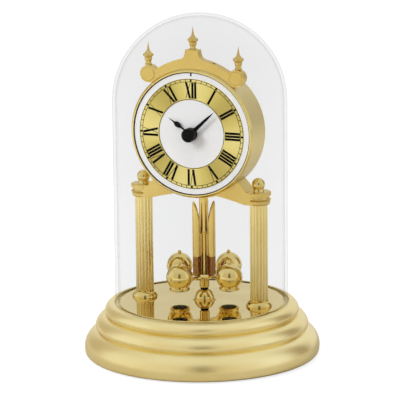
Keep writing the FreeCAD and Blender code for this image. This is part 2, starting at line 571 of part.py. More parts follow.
def make_movement():
    """The quartz movement: tray, covers, printed circuit, motor parts and cell."""
    tray = box("tray_block", "case_w", "case_depth", "case_up * 2", "0 - case_w / 2", "0 - case_front",
               "drum_z - case_up")
    room = box("tray_room", "case_w - case_wall * 2", "case_depth", "case_up + cell_wall_u - 2",
               "case_wall - case_w / 2", "case_wall - case_front", "drum_z - cell_wall_u + 0.9")
    bay = box("cell_bay", "case_w - case_wall * 2", "case_depth", "case_up - cell_wall_u - case_wall",
              "case_wall - case_w / 2", "case_wall - case_front", "drum_z - case_up + case_wall")
    neck = cylinder("tray_neck", 2.6, 3.4, 0, "0 - case_front - 3.4", "drum_z", "Y")
    bore = cylinder("tray_bore", 2.05, 12, 0, "0 - case_front - 6", "drum_z", "Y")
    node("movement_case", cut("movement_case_cut", fused("movement_case_body", [
        cut("movement_tray", tray, [room, bay]), neck]), [bore]))

    cover = box("cover_block", "case_w", 1, "case_up * 2", "0 - case_w / 2", "case_depth - case_front",
                "drum_z - case_up")
    window = box("cell_window", "case_w - 4", 4, "case_up - cell_wall_u - 2", "2 - case_w / 2",
                 "case_depth - case_front - 1", "drum_z - case_up + 1.4")
    stem_hole = cylinder("cover_stem_hole", 1.3, 4, 0, "case_depth - case_front - 1",
                         "drum_z + motion_dist", "Y")
    holes, screws = [], []
    for number, (side, level) in enumerate(((-1, 1), (1, 1), (-1, -0.36), (1, -0.36))):
        x, z = "%d * (case_w / 2 - 3)" % side, "drum_z + %s * (case_up - 3)" % level
        holes.append(cylinder("cover_screw_hole_%d" % number, 0.9, 4,
                              x, "case_depth - case_front - 1", z, "Y"))
        screws.append(place(turned("movement_screw_%d" % number, [
            (0, -4.6), (1.6, -4.6), (1.6, -3.6), (0.8, -3.6), (0.8, -1), (0, -1)]), x, 0, z, front=True))
    node("movement_cover", cut("movement_cover_cut", cover, [window, stem_hole] + holes))
    group("movement_screws", screws)

    bridge = box("middle_plate_block", "case_w - case_wall * 2 - 1", 0.8, "case_up + cell_wall_u - 3.4",
                 "case_wall - case_w / 2 + 0.5", -8.6, "drum_z - cell_wall_u + 1.7")
    spots = [(0, "drum_z", 1.3), (0, "drum_z + motion_dist", 0.9)]
    spots += [(x, z, "arbor_rad + 0.05") for x, z in (THIRD, SECONDS)]
    node("middle_plate", cut("middle_plate_cut", bridge, [
        cylinder("middle_hole_%d" % index, rad, 4, x, -10, z, "Y")
        for index, (x, z, rad) in enumerate(spots)]))

    node("coil", cylinder("coil_winding", 3.2, 20, -4, -3.6, "drum_z + 21.4", "X"))
    node("stator", box("stator_plate", 30, 0.8, 5, -8, 0.2, "drum_z + 18.9"))
    node("circuit_board", box("circuit_board_plate", 14, 0.8, 20, 12, -1.2, "drum_z - 6"))
    node("quartz_crystal", cylinder("crystal_can", 1, 6, 18, -2.3, "drum_z + 2", "Z"))
    cell = turned("cell_body", [
        (0, 0), ("cell_rad - 0.5", 0), ("cell_rad", 0.5), ("cell_rad", "cell_len - 2"),
        ("cell_rad - 0.7", "cell_len - 1.2"), (2.6, "cell_len - 1.2"), (2.6, "cell_len"), (0, "cell_len")])
    place(cell, "0 - cell_len / 2", "0 - cell_front", "drum_z - cell_drop")
    cell.Placement = FreeCAD.Placement(cell.Placement.Base, FreeCAD.Rotation(V(0, 1, 0), 90))
    node("battery", cell)
    group("battery_contacts", [
        box("contact_" + name, 0.5, 9, 9, x, "0 - cell_front - 4.5", "drum_z - cell_drop - 4.5")
        for name, x in (("left", "0 - cell_len / 2 - 0.6"), ("right", "cell_len / 2 + 0.1"))])
    dial_nut = ring("dial_nut_body", "hub_rad - 0.3", 2.65, "dial_front", "dial_front + 1.1")
    node("dial_nut", place(dial_nut, 0, 0, "drum_z", front=True))

    door = box("battery_door_panel", "door_w", "back_t", "door_low - door_high", "0 - door_w / 2",
               "drum_rear", "drum_z - door_low")
    grip = box("door_grip", 12, 0.9, 1.4, -6, "drum_rear + back_t", "drum_z - door_high - 3")
    node("battery_door", fused("battery_door_body", [door, grip]))


def rod(radius, front, back):
    """A plain round arbor in the front frame."""
    return Part.makeCylinder(radius, front - back, V(0, 0, back))


def make_wheels():
    """Going train, motion work and the setting knob."""
    thin = size_of("arbor_rad")
    train, fast, slow = DIMS["train_module"], DIMS["minute_module"], DIMS["hour_module"]
    minute = Part.makeCylinder(1.15, 10.2, V(0, 0, 8.2))
    minute = minute.fuse([rod(0.75, 8.4, 3.4), rod(thin, 3.5, -2.5), wheel_solid(12, fast, 0, 9.8, 0.9)])
    front_feature("minute_arbor", minute, 0, "drum_z")
    front_feature("centre_wheel", wheel_solid(64, train, 0.8, 7.4, 0.8), 0, "drum_z")

    hour = wheel_solid(40, slow, 1.25, 11.1, 0.8, mesh_spin(10, 90, 270, 40))
    pipe = Part.makeCylinder(1.95, 6.3, V(0, 0, 10.3)).cut(Part.makeCylinder(1.25, 9, V(0, 0, 9)))
    front_feature("hour_wheel", hour.fuse(pipe), 0, "drum_z")

    motion = wheel_solid(36, fast, 0, 9.7, 0.7, mesh_spin(12, 0, 90, 36))
    motion = motion.fuse([wheel_solid(10, slow, 0, 11.1, 1.5, 90), rod(0.8, 9.5, -9.0)])
    front_feature("motion_wheel", motion, 0, "drum_z + motion_dist")
    knob = turned("setting_knob_body", [
        (0.81, -9.2), (4.4, -9.2), ("knob_rad", -8.8), ("knob_rad", -6), (0.81, -6)])
    node("setting_knob", place(knob, 0, 0, "drum_z + motion_dist", front=True))

    pinion = wheel_solid(8, train, 0, 7.6, 1.6, mesh_spin(64, 0, DIMS["third_angle"], 8))
    third = wheel_solid(60, train, 0, 6.0, 0.8).fuse([pinion, rod(thin, 8.4, -2.4)])
    front_feature("third_wheel", third, *THIRD)
    pinion = wheel_solid(8, train, 0, 6.1, 1.9, mesh_spin(60, 0, DIMS["seconds_angle"], 8))
    seconds = wheel_solid(60, train, 0, 4.2, 0.8).fuse([pinion, rod(thin, 8.4, -2.4)])
    front_feature("seconds_wheel", seconds, *SECONDS)


def hand_outline(points, angle):
    """A flat hand, drawn pointing up and turned clockwise to its time."""
    corners = [V(x, y, 0) for x, y in points] + [V(-x, y, 0) for x, y in reversed(points) if x]
    face = Part.Face(Part.makePolygon(corners + corners[:1]))
    face.rotate(V(0, 0, 0), V(0, 0, 1), -angle)
    return face


def make_hand(label, outline, angle, boss_front, boss_t, blade_front, bore):
    """A flat black hand on a round boss, bored for its arbor."""
    blade = hand_outline(outline, size_of(angle)).extrude(V(0, 0, size_of("hand_t")))
    blade.translate(V(0, 0, blade_front))
    boss = Part.makeCylinder(size_of("hub_rad"), boss_t, V(0, 0, boss_front - boss_t))
    hand = boss.fuse(blade).cut(Part.makeCylinder(bore, 10, V(0, 0, boss_front - 5)))
    front_feature(label, hand, 0, "drum_z")


def make_hands():
    """The minute hand, the hour hand with its lozenge, and the cap over the arbor."""
    minute = [(1.3, 0), (1.3, 4), (1.1, 9), (0.8, 16), (0, size_of("minute_len"))]
    make_hand("minute_hand", minute, "minute_angle", 18.0, 0.9, 17.3, 1.16)
    hour = [(0.5, 0), (0.5, 7.6), (1.5, 9.4), (1.75, 10.9), (1.5, 12.0), (0.5, 13.2),
            (0, size_of("hour_len"))]
    make_hand("hour_hand", hour, "hour_angle", 16.8, 1.0, 16.0, 1.96)
    cap = turned("hub_cap_body", [
        (0, 18.5), (1.2, 18.5), (1.2, 18.0), ("hub_rad", 18.0), ("hub_rad", 20.9),
        ("hub_rad - 0.5", 21.4), (0, 21.4)])
    node("hub_cap", place(cap, 0, 0, "drum_z", front=True))


# ---------------------------------------------------------------- pendulum
def make_quill(number, spin):
    """One thin tube cut obliquely at the top, so that its outer side stands highest."""
    tube = ring("quill_%d" % number, "quill_rad", "quill_bore", "block_top_z", "quill_tip_z")
    wedge = padded("quill_wedge_%d" % number, [
        ("0 - quill_rad - 1", "quill_low_z - 6.5"), ("quill_rad", "quill_tip_z"),
        ("quill_rad", "quill_tip_z + 4"), ("0 - quill_rad - 1", "quill_tip_z + 4")], 12, "XZ_Plane")
    wedge.Placement = FreeCAD.Placement(V(0, 6, 0), FreeCAD.Rotation())
    x, y = on_circle("quill_circle", spin)
    return place(cut("quill_cut_%d" % number, tube, [wedge]), x, "swing_y + " + y, 0, spin=spin)


def make_sleeve(number, spin):
    """One bevelled block that holds the foot of a quill."""
    sleeve = padded("sleeve_%d" % number, [
        ("0 - 2.6", "0 - 1.6"), ("0 - 1.8", "0 - 2.4"), (1.2, "0 - 2.4"), (2.0, "0 - 1.6"),
        (2.0, 1.6), (1.2, 2.4), ("0 - 1.8", 2.4), ("0 - 2.6", 1.6)], "block_top_z - block_low_z")
    x, y = on_circle("quill_circle", spin)
    return place(sleeve, x, "swing_y + " + y, "block_low_z", spin=spin)


def make_weight(number, spin):
    """A ball with a knob, a fine seam and the end of its cross pin, and the cup under it."""
    x, y = on_circle("weight_circle", spin)
    shell = turned("weight_shell_%d" % number, [
        (0, -6), (6.02, -6), (8.496, -0.25, "weight_rad", -1), (8.62, -0.2), (8.62, 0.2),
        (8.496, 0.25), (1.07, 8.43, "weight_rad", -1), (1.25, 9.1, 1.25, -1), (0, 10.35, 1.25, -1)])
    pin = cylinder("weight_pin_%d" % number, 1.4, 5, "weight_rad - 4.1", 0, 0, "X")
    ball = place(fused("weight_ball_%d" % number, [shell, pin]), x, "swing_y + " + y, "weight_z", spin=spin)
    cup = turned("weight_cup_%d" % number, [
        (0, -8.8), (5.0, -8.8), (5.0, -8.5), (6.2, -8.5), (6.6, -8.1), (6.6, -6.9), (6.1, -6.4),
        (6.02, -6), (0, -6)])
    return ball, place(cup, x, "swing_y + " + y, "weight_z")


def make_pendulum():
    """The turning pendulum: tube, pivot pin, magnet, quills, sleeves, arms and weights."""
    foot = "plate_z + guide_h + 1.3"
    tube = turned("pendulum_tube_body", [
        (0, foot), ("tube_foot_rad - 0.3", foot), ("tube_foot_rad", foot + " + 0.3"),
        ("tube_foot_rad", "arm_z"), ("stem_rad", "arm_z"), ("stem_rad", "tube_step_z - 0.4"),
        ("tube_rad + 0.4", "tube_step_z"), ("tube_rad + 0.4", "tube_step_z + 0.8"),
        ("tube_rad", "tube_step_z + 1.2"), ("tube_rad", "tube_top_z"), (0, "tube_top_z")])
    node("pendulum_tube", place(tube, 0, "swing_y"))
    magnet = disc("pendulum_magnet_body", 6, "tube_top_z", "tube_top_z + 2")
    node("pendulum_magnet", place(magnet, 0, "swing_y"))
    pivot = turned("pendulum_pivot_body", [
        (0, "plate_z + 3.6"), (0.3, "plate_z + 3.6"), (0.8, "plate_z + 4.1"), (0.8, foot), (0, foot)])
    node("pendulum_pivot", place(pivot, 0, "swing_y"))

    quills, sleeves, balls, cups, arms, sockets = [], [], [], [], [], []
    for number in range(4):
        spin = DIMS["arm_angle"] + 90 * number
        quills.append(make_quill(number, spin))
        sleeves.append(make_sleeve(number, spin))
        ball, cup = make_weight(number, spin)
        balls.append(ball)
        cups.append(cup)
        arm = box("arm_bar_%d" % number, "weight_circle", 3, 1.2, 0, -1.5, 0)
        arm.Placement = FreeCAD.Placement(V(0, 0, 0), FreeCAD.Rotation(V(0, 0, 1), spin))
        arms.append(arm)
        socket = doc.addObject("Part::Sphere", "arm_socket_%d" % number)
        socket.setExpression("Radius", bound("weight_rad + 0.05"))
        sockets.append(place(socket, *on_circle("weight_circle", spin), z="weight_z - arm_z"))
    group("pendulum_quills", quills)
    node("pendulum_sleeves", fused("sleeves_body", sleeves))
    group("weight_balls", balls)
    group("weight_cups", cups)
    flange = turned("arm_flange", [
        (0, 0), ("flange_rad - 0.5", 0), ("flange_rad", 0.6), ("flange_rad", 1.4),
        ("flange_rad - 0.8", "block_low_z - arm_z"), (0, "block_low_z - arm_z")])
    arm_bore = cylinder("arm_bore", "stem_rad + 0.02", 6, 0, 0, -1)
    star = cut("pendulum_arms_cut", fused("pendulum_arms_body", [flange] + arms), sockets + [arm_bore])
    node("pendulum_arms", place(star, 0, "swing_y", "arm_z"))


def make_pendulum_mounts():
    """The guide on the plate with its bush, and the drive that turns the pendulum from above."""
    guide = turned("guide_dome_body", [
        (1.7, 0), (7.7, 0), (7.7, 0.5), ("guide_rad", 0.5), ("bush_rad", "guide_h", "guide_rad", -1),
        (1.7, "guide_h")])
    node("guide_dome", place(guide, 0, "swing_y", "plate_z"))
    bushing = turned("guide_bushing_body", [
        (0, 1.5), (1.65, 1.5), (1.65, "guide_h"), ("bush_rad", "guide_h"),
        ("bush_rad", "guide_h + 0.7"), ("bush_rad - 0.3", "guide_h + 1"), (0.85, "guide_h + 1"),
        (0.85, 3.4), (0, 3.4)])
    node("guide_bushing", place(bushing, 0, "swing_y", "plate_z"))
    housing = box("drive_block", "drive_w", "swing_y + drive_w / 2 + 1.6", "drive_top_z - drive_low_z",
                  "0 - drive_w / 2", -1.6, "drive_low_z")
    room = cylinder("drive_room", 7.0, "drive_top_z - tube_top_z - 0.8", 0, "swing_y", "tube_top_z - 0.6")
    bearing = cylinder("drive_bearing", "tube_rad + 0.06", 8, 0, "swing_y", "drive_low_z - 1")
    node("pendulum_drive", cut("pendulum_drive_cut", housing, [room, bearing]))
    coil = ring("drive_coil_body", 5.6, 1.5, "tube_top_z + 4.5", "drive_top_z - 1.4")
    node("drive_coil", place(coil, 0, "swing_y"))


def export_parts():
    """Check every object, then write one STEP file for each node."""
    doc.recompute()
    for item in doc.Objects:
        if "Invalid" in item.State or "Error" in item.State:
            raise RuntimeError("%s failed: %s" % (item.Label, item.State))
    os.makedirs("parts", exist_ok=True)
    for name, item in nodes.items():
        if item.Shape.isNull() or not item.Shape.isValid():
            raise RuntimeError(name + " has no valid shape")
        item.Shape.exportStep("parts/%s.step" % name)
    print("%d nodes" % len(nodes))


make_base()
make_glass_dome()
make_columns()
make_bridge()
make_drum()
make_crest()
make_movement()
make_wheels()
make_hands()
make_pendulum()
make_pendulum_mounts()
export_parts()
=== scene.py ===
"""Looks of the anniversary clock: finishes, printed dial, glass, studio and camera.

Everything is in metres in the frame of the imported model: the origin is under the middle of
the base, +Z is up and the dial faces -Y.
"""
import math
import bmesh
import bpy
from mathutils import Matrix, Vector


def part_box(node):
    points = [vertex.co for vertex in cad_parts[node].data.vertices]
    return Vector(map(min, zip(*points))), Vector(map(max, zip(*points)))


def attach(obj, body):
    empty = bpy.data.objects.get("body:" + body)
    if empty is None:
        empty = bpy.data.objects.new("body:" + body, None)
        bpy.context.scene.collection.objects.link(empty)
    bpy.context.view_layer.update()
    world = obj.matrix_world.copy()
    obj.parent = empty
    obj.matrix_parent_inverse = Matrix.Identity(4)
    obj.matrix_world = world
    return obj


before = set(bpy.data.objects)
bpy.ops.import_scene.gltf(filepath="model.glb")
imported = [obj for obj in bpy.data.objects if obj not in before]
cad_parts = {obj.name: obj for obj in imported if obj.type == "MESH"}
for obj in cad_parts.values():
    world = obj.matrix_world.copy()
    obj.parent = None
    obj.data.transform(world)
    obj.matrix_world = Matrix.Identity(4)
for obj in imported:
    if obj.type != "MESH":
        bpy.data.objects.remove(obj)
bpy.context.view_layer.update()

MM = 0.001
INK_THICK = 0.05 * MM


# ---------------------------------------------------------------- places read from the frame
def middle(name):
    """The centre of a node's box."""
    low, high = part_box(name)
    return (Vector(low) + Vector(high)) / 2


DIAL_Z = middle("dial_plate").z
DIAL_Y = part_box("dial_plate")[0][1]            # front face of the white plate
CHAPTER_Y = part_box("chapter_ring")[0][1]       # front face of the gold ring
DIAL_R = (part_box("dial_plate")[1][0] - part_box("dial_plate")[0][0]) / 2


# ---------------------------------------------------------------- node helpers
class Nodes:
    """Short calls for building a node tree."""

    def __init__(self, tree):
        self.tree = tree

    def add(self, kind, settings=None, **inputs):
        """A node with its settings, and its inputs as values or as sockets to link.

        An input is called by its name, with _ for a space, or by its place: i0, i1 and so on.
        """
        item = self.tree.nodes.new(kind)
        for key, value in (settings or {}).items():
            setattr(item, key, value)
        for key, value in inputs.items():
            by_place = key[0] == "i" and key[1:].isdigit()
            self.feed(item.inputs[int(key[1:]) if by_place else key.replace("_", " ")], value)
        return item

    def feed(self, socket, value):
        """Set a socket to a value, or link it when the value is a socket."""
        if isinstance(value, bpy.types.NodeSocket):
            self.tree.links.new(value, socket)
        else:
            socket.default_value = value

    def math(self, operation, first, second=0.0, third=0.5):
        """The result socket of one Math node."""
        return self.add("ShaderNodeMath", {"operation": operation}, i0=first, i1=second,
                        i2=third).outputs[0]

    def length(self, first, second):
        """The length of the vector with these two parts."""
        squares = [self.math("MULTIPLY", part, part) for part in (first, second)]
        return self.math("SQRT", self.math("ADD", *squares))

    def between(self, factor, low, high):
        """A factor in 0..1 carried over to low..high."""
        return self.add("ShaderNodeMapRange", i0=factor, i3=low, i4=high).outputs[0]

    def where(self):
        """The object's own coordinates."""
        return self.add("ShaderNodeTexCoord").outputs["Object"]

    def where_split(self):
        """The object's own x, y and z."""
        return self.add("ShaderNodeSeparateXYZ", Vector=self.where()).outputs

    def ramp(self, factor, stops):
        """A colour ramp through (place, colour or grey) stops."""
        item = self.add("ShaderNodeValToRGB", i0=factor)
        points = item.color_ramp.elements
        while len(points) < len(stops):
            points.new(0.5)
        for point, (place, colour) in zip(points, stops):
            point.position = place
            point.color = (*colour, 1) if isinstance(colour, tuple) else (colour, colour, colour, 1)
        return item.outputs[0]

    def noise(self, scale, detail, vector=None):
        """The factor of a noise texture over the object's own coordinates."""
        return self.add("ShaderNodeTexNoise", Vector=vector or self.where(), Scale=scale,
                        Detail=detail, Roughness=0.5).outputs["Fac"]


class Finish(Nodes):
    """A new material, whose tree starts with a Principled shader."""

    def __init__(self, name):
        self.material = bpy.data.materials.new(name)
        self.material.use_nodes = True
        super().__init__(self.material.node_tree)
        self.shader = self.tree.nodes["Principled BSDF"]
        self.output = self.tree.nodes["Material Output"]

    def bump(self, height, strength, distance):
        """Feed a height to the shader's normal."""
        item = self.add("ShaderNodeBump", Height=height, Strength=strength, Distance=distance)
        self.feed(self.shader.inputs["Normal"], item.outputs[0])

    def set(self, **inputs):
        """Set or link the Principled shader's inputs."""
        for key, value in inputs.items():
            self.feed(self.shader.inputs[key.replace("_", " ")], value)


def linear(red, green, blue):
    """A display colour in 0..255 as the linear colour that shaders take."""
    return tuple(((c / 255 + 0.055) / 1.055) ** 2.4 if c > 10 else c / 3294.6
                 for c in (red, green, blue))


GOLD_LIGHT = linear(243, 222, 150)
GOLD = linear(236, 211, 132)
GOLD_DEEP = linear(226, 196, 112)
PALE_GOLD = linear(242, 226, 168)
PALE_GOLD_DEEP = linear(235, 215, 150)


# ---------------------------------------------------------------- finishes
def plated_gold(name, light, deep, roughness, spread, grain, bump=0.0):
    """Gold-coloured plating: slow colour drift, fine grain in its roughness and a little bump."""
    n = Finish(name)
    drift = n.noise(38, 2)
    colour = n.ramp(drift, [(0.3, deep), (0.7, light)])
    fine = n.noise(grain, 4)
    n.set(Base_Color=colour, Metallic=1.0,
          Roughness=n.between(fine, roughness - spread, roughness + spread))
    if bump:
        n.bump(fine, bump, 0.00005)
    return n.material


def turned_gold(name, light, deep, roughness, centre_z=None):
    """Satin plating with faint turning marks round the clock's axis, or round the drum's."""
    n = Finish(name)
    first, second, along = n.where_split()
    if centre_z is not None:
        second, along = n.math("SUBTRACT", along, centre_z), second
    path = n.add("ShaderNodeCombineXYZ", i0=n.length(first, second), i1=along).outputs[0]
    marks = n.noise(2600, 2, path)
    drift = n.noise(22, 2)
    colour = n.ramp(drift, [(0.3, deep), (0.72, light)])
    n.set(Base_Color=colour, Metallic=1.0,
          Roughness=n.between(marks, roughness - 0.05, roughness + 0.06))
    n.bump(marks, 0.12, 0.00004)
    return n.material


def chapter_gold():
    """Gold ring brushed outwards from the dial's centre, with broad lighter and darker bands of
    painted sheen: reflected light painted into its colour round the ring.
    """
    n = Finish("chapter_brushed_gold_painted_sheen")
    sectors, turn, ray_share = 4.0, 0.5, 0.35
    right, _, height = n.where_split()
    up = n.math("SUBTRACT", height, DIAL_Z)
    angle = n.math("ARCTAN2", up, right)
    # Painted sheen: the colour swings between darker and lighter gold four times round the ring, in
    # place of reflections.
    wave = n.math("COSINE", n.math("MULTIPLY_ADD", angle, sectors, turn))
    painted_sheen = n.math("MULTIPLY_ADD", wave, 0.5, 0.5)
    rays = n.noise(1, 3, n.add("ShaderNodeCombineXYZ", i0=n.math("MULTIPLY", angle, 60.0),
                               i1=n.math("MULTIPLY", n.length(right, up), 30.0)).outputs[0])
    blend = n.math("MULTIPLY_ADD", rays, ray_share, n.math("MULTIPLY", painted_sheen, 1 - ray_share))
    colour = n.ramp(blend, [(0.1, linear(194, 174, 92)), (0.45, linear(222, 204, 114)),
                            (0.85, linear(246, 230, 148))])
    n.set(Base_Color=colour, Metallic=0.55, Roughness=0.42)
    n.bump(rays, 0.15, 0.00003)
    return n.material


def dial_enamel():
    """White enamel with a very faint orange-peel in its lacquer."""
    n = Finish("dial_white_enamel")
    peel = n.noise(900, 2)
    white = n.ramp(n.noise(60, 2), [(0.3, linear(232, 232, 236)), (0.7, linear(238, 238, 241))])
    n.set(Base_Color=white, Roughness=0.35, Coat_Weight=0.4, Coat_Roughness=0.08)
    n.bump(peel, 0.05, 0.00002)
    return n.material


def plain_finish(name, colour, dark, roughness, metallic=0.0, grain=500, bump=0.1, coat=0.0):
    """A finish of one colour with slight mottling and a fine surface grain."""
    n = Finish(name)
    fine = n.noise(grain, 4)
    n.set(Base_Color=n.ramp(n.noise(grain / 8, 3), [(0.3, dark), (0.7, colour)]),
          Metallic=metallic, Roughness=n.between(fine, roughness - 0.06, roughness + 0.06),
          Coat_Weight=coat, Coat_Roughness=0.1)
    n.bump(fine, bump, 0.00004)
    return n.material


def dome_glass():
    """Clear blown glass, a little greyer and glossier towards its edges."""
    gloss_most, gloss_least = 0.12, 0.003
    n = Finish("dome_clear_glass")
    n.tree.nodes.remove(n.shader)
    edge = n.add("ShaderNodeLayerWeight", Blend=0.5).outputs["Facing"]
    tint = n.ramp(edge, [(0.0, 0.93), (0.35, 0.938), (0.72, 0.948), (0.84, 0.91), (1.0, 0.87)])
    clear = n.add("ShaderNodeBsdfTransparent", Color=tint).outputs[0]
    ripple = n.add("ShaderNodeBump", Height=n.noise(45, 2), Strength=0.05,
                   Distance=0.0004).outputs[0]
    gloss = n.add("ShaderNodeBsdfGlossy", Roughness=0.03, Normal=ripple).outputs[0]
    share = n.math("MULTIPLY_ADD", n.math("POWER", edge, 5.0), gloss_most, gloss_least)
    glass = n.add("ShaderNodeMixShader", i0=share, i1=clear, i2=gloss).outputs[0]
    n.feed(n.output.inputs["Surface"], glass)
    return n.material


def black_finish(name, roughness, grain):
    """Deep black with a dull sheen, for printing and lacquer."""
    n = Finish(name)
    fine = n.noise(grain, 3)
    n.set(Base_Color=n.ramp(fine, [(0.3, 0.0015), (0.7, 0.004)]), Roughness=roughness,
          Specular_IOR_Level=0.06)
    n.bump(fine, 0.08, 0.00003)
    return n.material


def cup_gold():
    """Polished gold cup whose flat underside is painted black as painted shade for the dark bottom
    of the weight.
    """
    n = Finish("cup_gold_over_painted_shade")
    shade_thick, fade = 0.27 * MM, 0.02 * MM
    # Painted shade: the lowest 0.27 mm of the cup is matte black, where its underside lies in
    # shadow.
    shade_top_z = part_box("weight_cups")[0][2] + shade_thick
    height = n.where_split()[2]
    gold = n.add("ShaderNodeMapRange", i0=height, i1=shade_top_z, i2=shade_top_z + fade).outputs[0]
    drift = n.noise(60, 2)
    tint = n.add("ShaderNodeMix", {"data_type": "RGBA"}, i0=gold, i6=(0.004, 0.004, 0.004, 1),
                 i7=n.ramp(drift, [(0.3, GOLD), (0.7, GOLD_LIGHT)])).outputs[2]
    rough = n.math("SUBTRACT", 0.7, n.math("MULTIPLY", gold, 0.62))
    n.set(Base_Color=tint, Metallic=gold, Roughness=rough)
    return n.material


def finish_nodes():
    """Give each carried-over CAD node its material."""
    base = turned_gold("base_satin_gold", PALE_GOLD, PALE_GOLD_DEEP, 0.30)
    drum = turned_gold("drum_satin_gold", PALE_GOLD, PALE_GOLD_DEEP, 0.34, DIAL_Z)
    rim = turned_gold("bezel_polished_gold", GOLD_LIGHT, GOLD, 0.14, DIAL_Z)
    cast = plated_gold("cast_satin_gold", GOLD, GOLD_DEEP, 0.32, 0.06, 900, bump=0.12)
    bright = plated_gold("polished_gold", GOLD_LIGHT, GOLD, 0.06, 0.02, 600)
    tube = plated_gold("tube_gold", GOLD, GOLD_DEEP, 0.12, 0.03, 600)
    column = plated_gold("column_bright_gold", PALE_GOLD, PALE_GOLD_DEEP, 0.11, 0.03, 700)
    mirror = plated_gold("plate_mirror_gold", GOLD_LIGHT, GOLD, 0.04, 0.01, 400)
    bronze = plated_gold("sleeve_bronze", linear(176, 128, 72), linear(130, 88, 44), 0.16, 0.04,
                         500)
    brass = plated_gold("wheel_brass", linear(222, 188, 104), linear(196, 160, 82), 0.28, 0.05,
                        500)
    steel = plain_finish("screw_steel", linear(196, 196, 194), linear(160, 160, 158), 0.3, 1.0,
                         800)
    plastic = plain_finish("movement_black_plastic", linear(44, 44, 46), linear(34, 34, 36), 0.5,
                           grain=1200)
    acetal = plain_finish("wheel_acetal", linear(236, 230, 210), linear(224, 216, 192), 0.42,
                          grain=700)
    hands = black_finish("hand_black_lacquer", 0.45, 900)
    copper = plain_finish("copper_winding", linear(206, 128, 84), linear(170, 92, 54), 0.34, 1.0,
                          2500, 0.4)
    rubber = plain_finish("foot_rubber", linear(38, 38, 38), linear(28, 28, 28), 0.75, grain=600,
                          bump=0.3)
    board = plain_finish("cover_fibre_board", linear(62, 58, 54), linear(44, 41, 38), 0.85,
                         grain=900, bump=0.4)
    laminate = plain_finish("circuit_laminate", linear(44, 110, 62), linear(30, 88, 48), 0.4,
                            grain=600)
    cell = plain_finish("cell_sleeve", linear(70, 76, 90), linear(54, 60, 74), 0.25, grain=400,
                        coat=0.5)
    magnet = plain_finish("magnet_ferrite", linear(72, 72, 74), linear(52, 52, 54), 0.6,
                          grain=900, bump=0.3)
    by_material = {
        base: ["base_shell"],
        drum: ["drum_case", "drum_back", "battery_door"],
        rim: ["bezel"],
        cast: ["bridge", "crest", "left_finial", "centre_finial", "right_finial"],
        bright: ["ball_nuts", "weight_balls", "pendulum_arms", "guide_dome", "left_column_foot",
                 "right_column_foot"],
        tube: ["pendulum_tube", "pendulum_quills"],
        column: ["left_column", "right_column"],
        mirror: ["top_plate"],
        bronze: ["pendulum_sleeves"],
        cup_gold(): ["weight_cups"],
        chapter_gold(): ["chapter_ring"],
        dial_enamel(): ["dial_plate"],
        dome_glass(): ["glass_dome"],
        brass: ["minute_arbor"],
        steel: ["tie_rods", "rod_nuts", "cover_screws", "back_screws", "movement_screws",
                "bridge_screws", "crest_screws", "stator", "quartz_crystal",
                "battery_contacts", "pendulum_pivot"],
        plastic: ["movement_case", "movement_cover", "middle_plate", "pendulum_drive",
                  "setting_knob"],
        acetal: ["centre_wheel", "hour_wheel", "motion_wheel", "third_wheel", "seconds_wheel"],
        hands: ["minute_hand", "hour_hand", "hub_cap", "dial_nut", "guide_bushing"],
        copper: ["coil", "drive_coil"],
        rubber: ["foot_pads"],
        board: ["base_cover"],
        laminate: ["circuit_board"],
        cell: ["battery"],
        magnet: ["pendulum_magnet"],
    }
    for material, names in by_material.items():
        for name in names:
            mesh = bpy.data.objects[name].data
            if not mesh.materials:
                mesh.materials.append(material)
            for index in range(len(mesh.materials)):
                mesh.materials[index] = material
    missing = set(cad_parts) - {name for names in by_material.values() for name in names}
    if missing:
        raise RuntimeError("no finish for " + ", ".join(sorted(missing)))


# ---------------------------------------------------------------- printed dial
def printed_piece(name, mesh, ink):
    """An object of the standing part, made from a bmesh."""
    data = bpy.data.meshes.new(name)
    mesh.to_mesh(data)
    mesh.free()
    piece = bpy.data.objects.new(name, data)
    bpy.context.scene.collection.objects.link(piece)
    data.materials.append(ink)
    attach(piece, "stand")


def flat_piece(name, polygons, front, ink):
    """Thin printed shapes on the dial: polygons of (x, up from the dial's centre) in metres."""
    mesh = bmesh.new()
    for corners in polygons:
        area = sum(a[0] * b[1] - b[0] * a[1] for a, b in zip(corners, corners[1:] + corners[:1]))
        ordered = corners if area > 0 else corners[::-1]
        rows = [[mesh.verts.new((x, front + depth, DIAL_Z + z)) for x, z in ordered]
                for depth in (0, INK_THICK)]
        mesh.faces.new(rows[0])
        mesh.faces.new(rows[1][::-1])
        for index in range(len(ordered)):
            after = (index + 1) % len(ordered)
            mesh.faces.new((rows[0][after], rows[0][index], rows[1][index], rows[1][after]))
    printed_piece(name, mesh, ink)


def ring_piece(name, outer, inner, front, ink):
    """A thin printed circle on the dial."""
    parts = 180
    mesh = bmesh.new()
    rings = []
    for radius, depth in ((outer, 0), (outer, INK_THICK), (inner, INK_THICK), (inner, 0)):
        rings.append([mesh.verts.new((radius * math.cos(2 * math.pi * k / parts), front + depth,
                                      DIAL_Z + radius * math.sin(2 * math.pi * k / parts)))
                      for k in range(parts)])
    for row in range(4):
        first, second = rings[row], rings[(row + 1) % 4]
        for k in range(parts):
            after = (k + 1) % parts
            mesh.faces.new((first[k], second[k], second[after], first[after]))
    bmesh.ops.recalc_face_normals(mesh, faces=mesh.faces)
    printed_piece(name, mesh, ink)


NUMERAL_LOW, NUMERAL_HIGH = 22.9 * MM, 33.1 * MM
THICK, HAIR, SERIF = 1.5 * MM, 0.36 * MM, 0.3 * MM
STROKE_GAP = 0.42 * MM
DEGREES_PER_HOUR, DEGREES_PER_MINUTE = 30, 6


def upright(x):
    """The letter I: a thick stem with a thin serif at each end."""
    tall = NUMERAL_HIGH - NUMERAL_LOW
    half, wing, inset = THICK / 2, THICK / 2 + STROKE_GAP / 2, SERIF * 0.8
    return [[(x - half, inset), (x + half, inset), (x + half, tall - inset),
             (x - half, tall - inset)],
            [(x - wing, 0), (x + wing, 0), (x + wing, SERIF), (x - wing, SERIF)],
            [(x - wing, tall - SERIF), (x + wing, tall - SERIF), (x + wing, tall),
             (x - wing, tall)]]


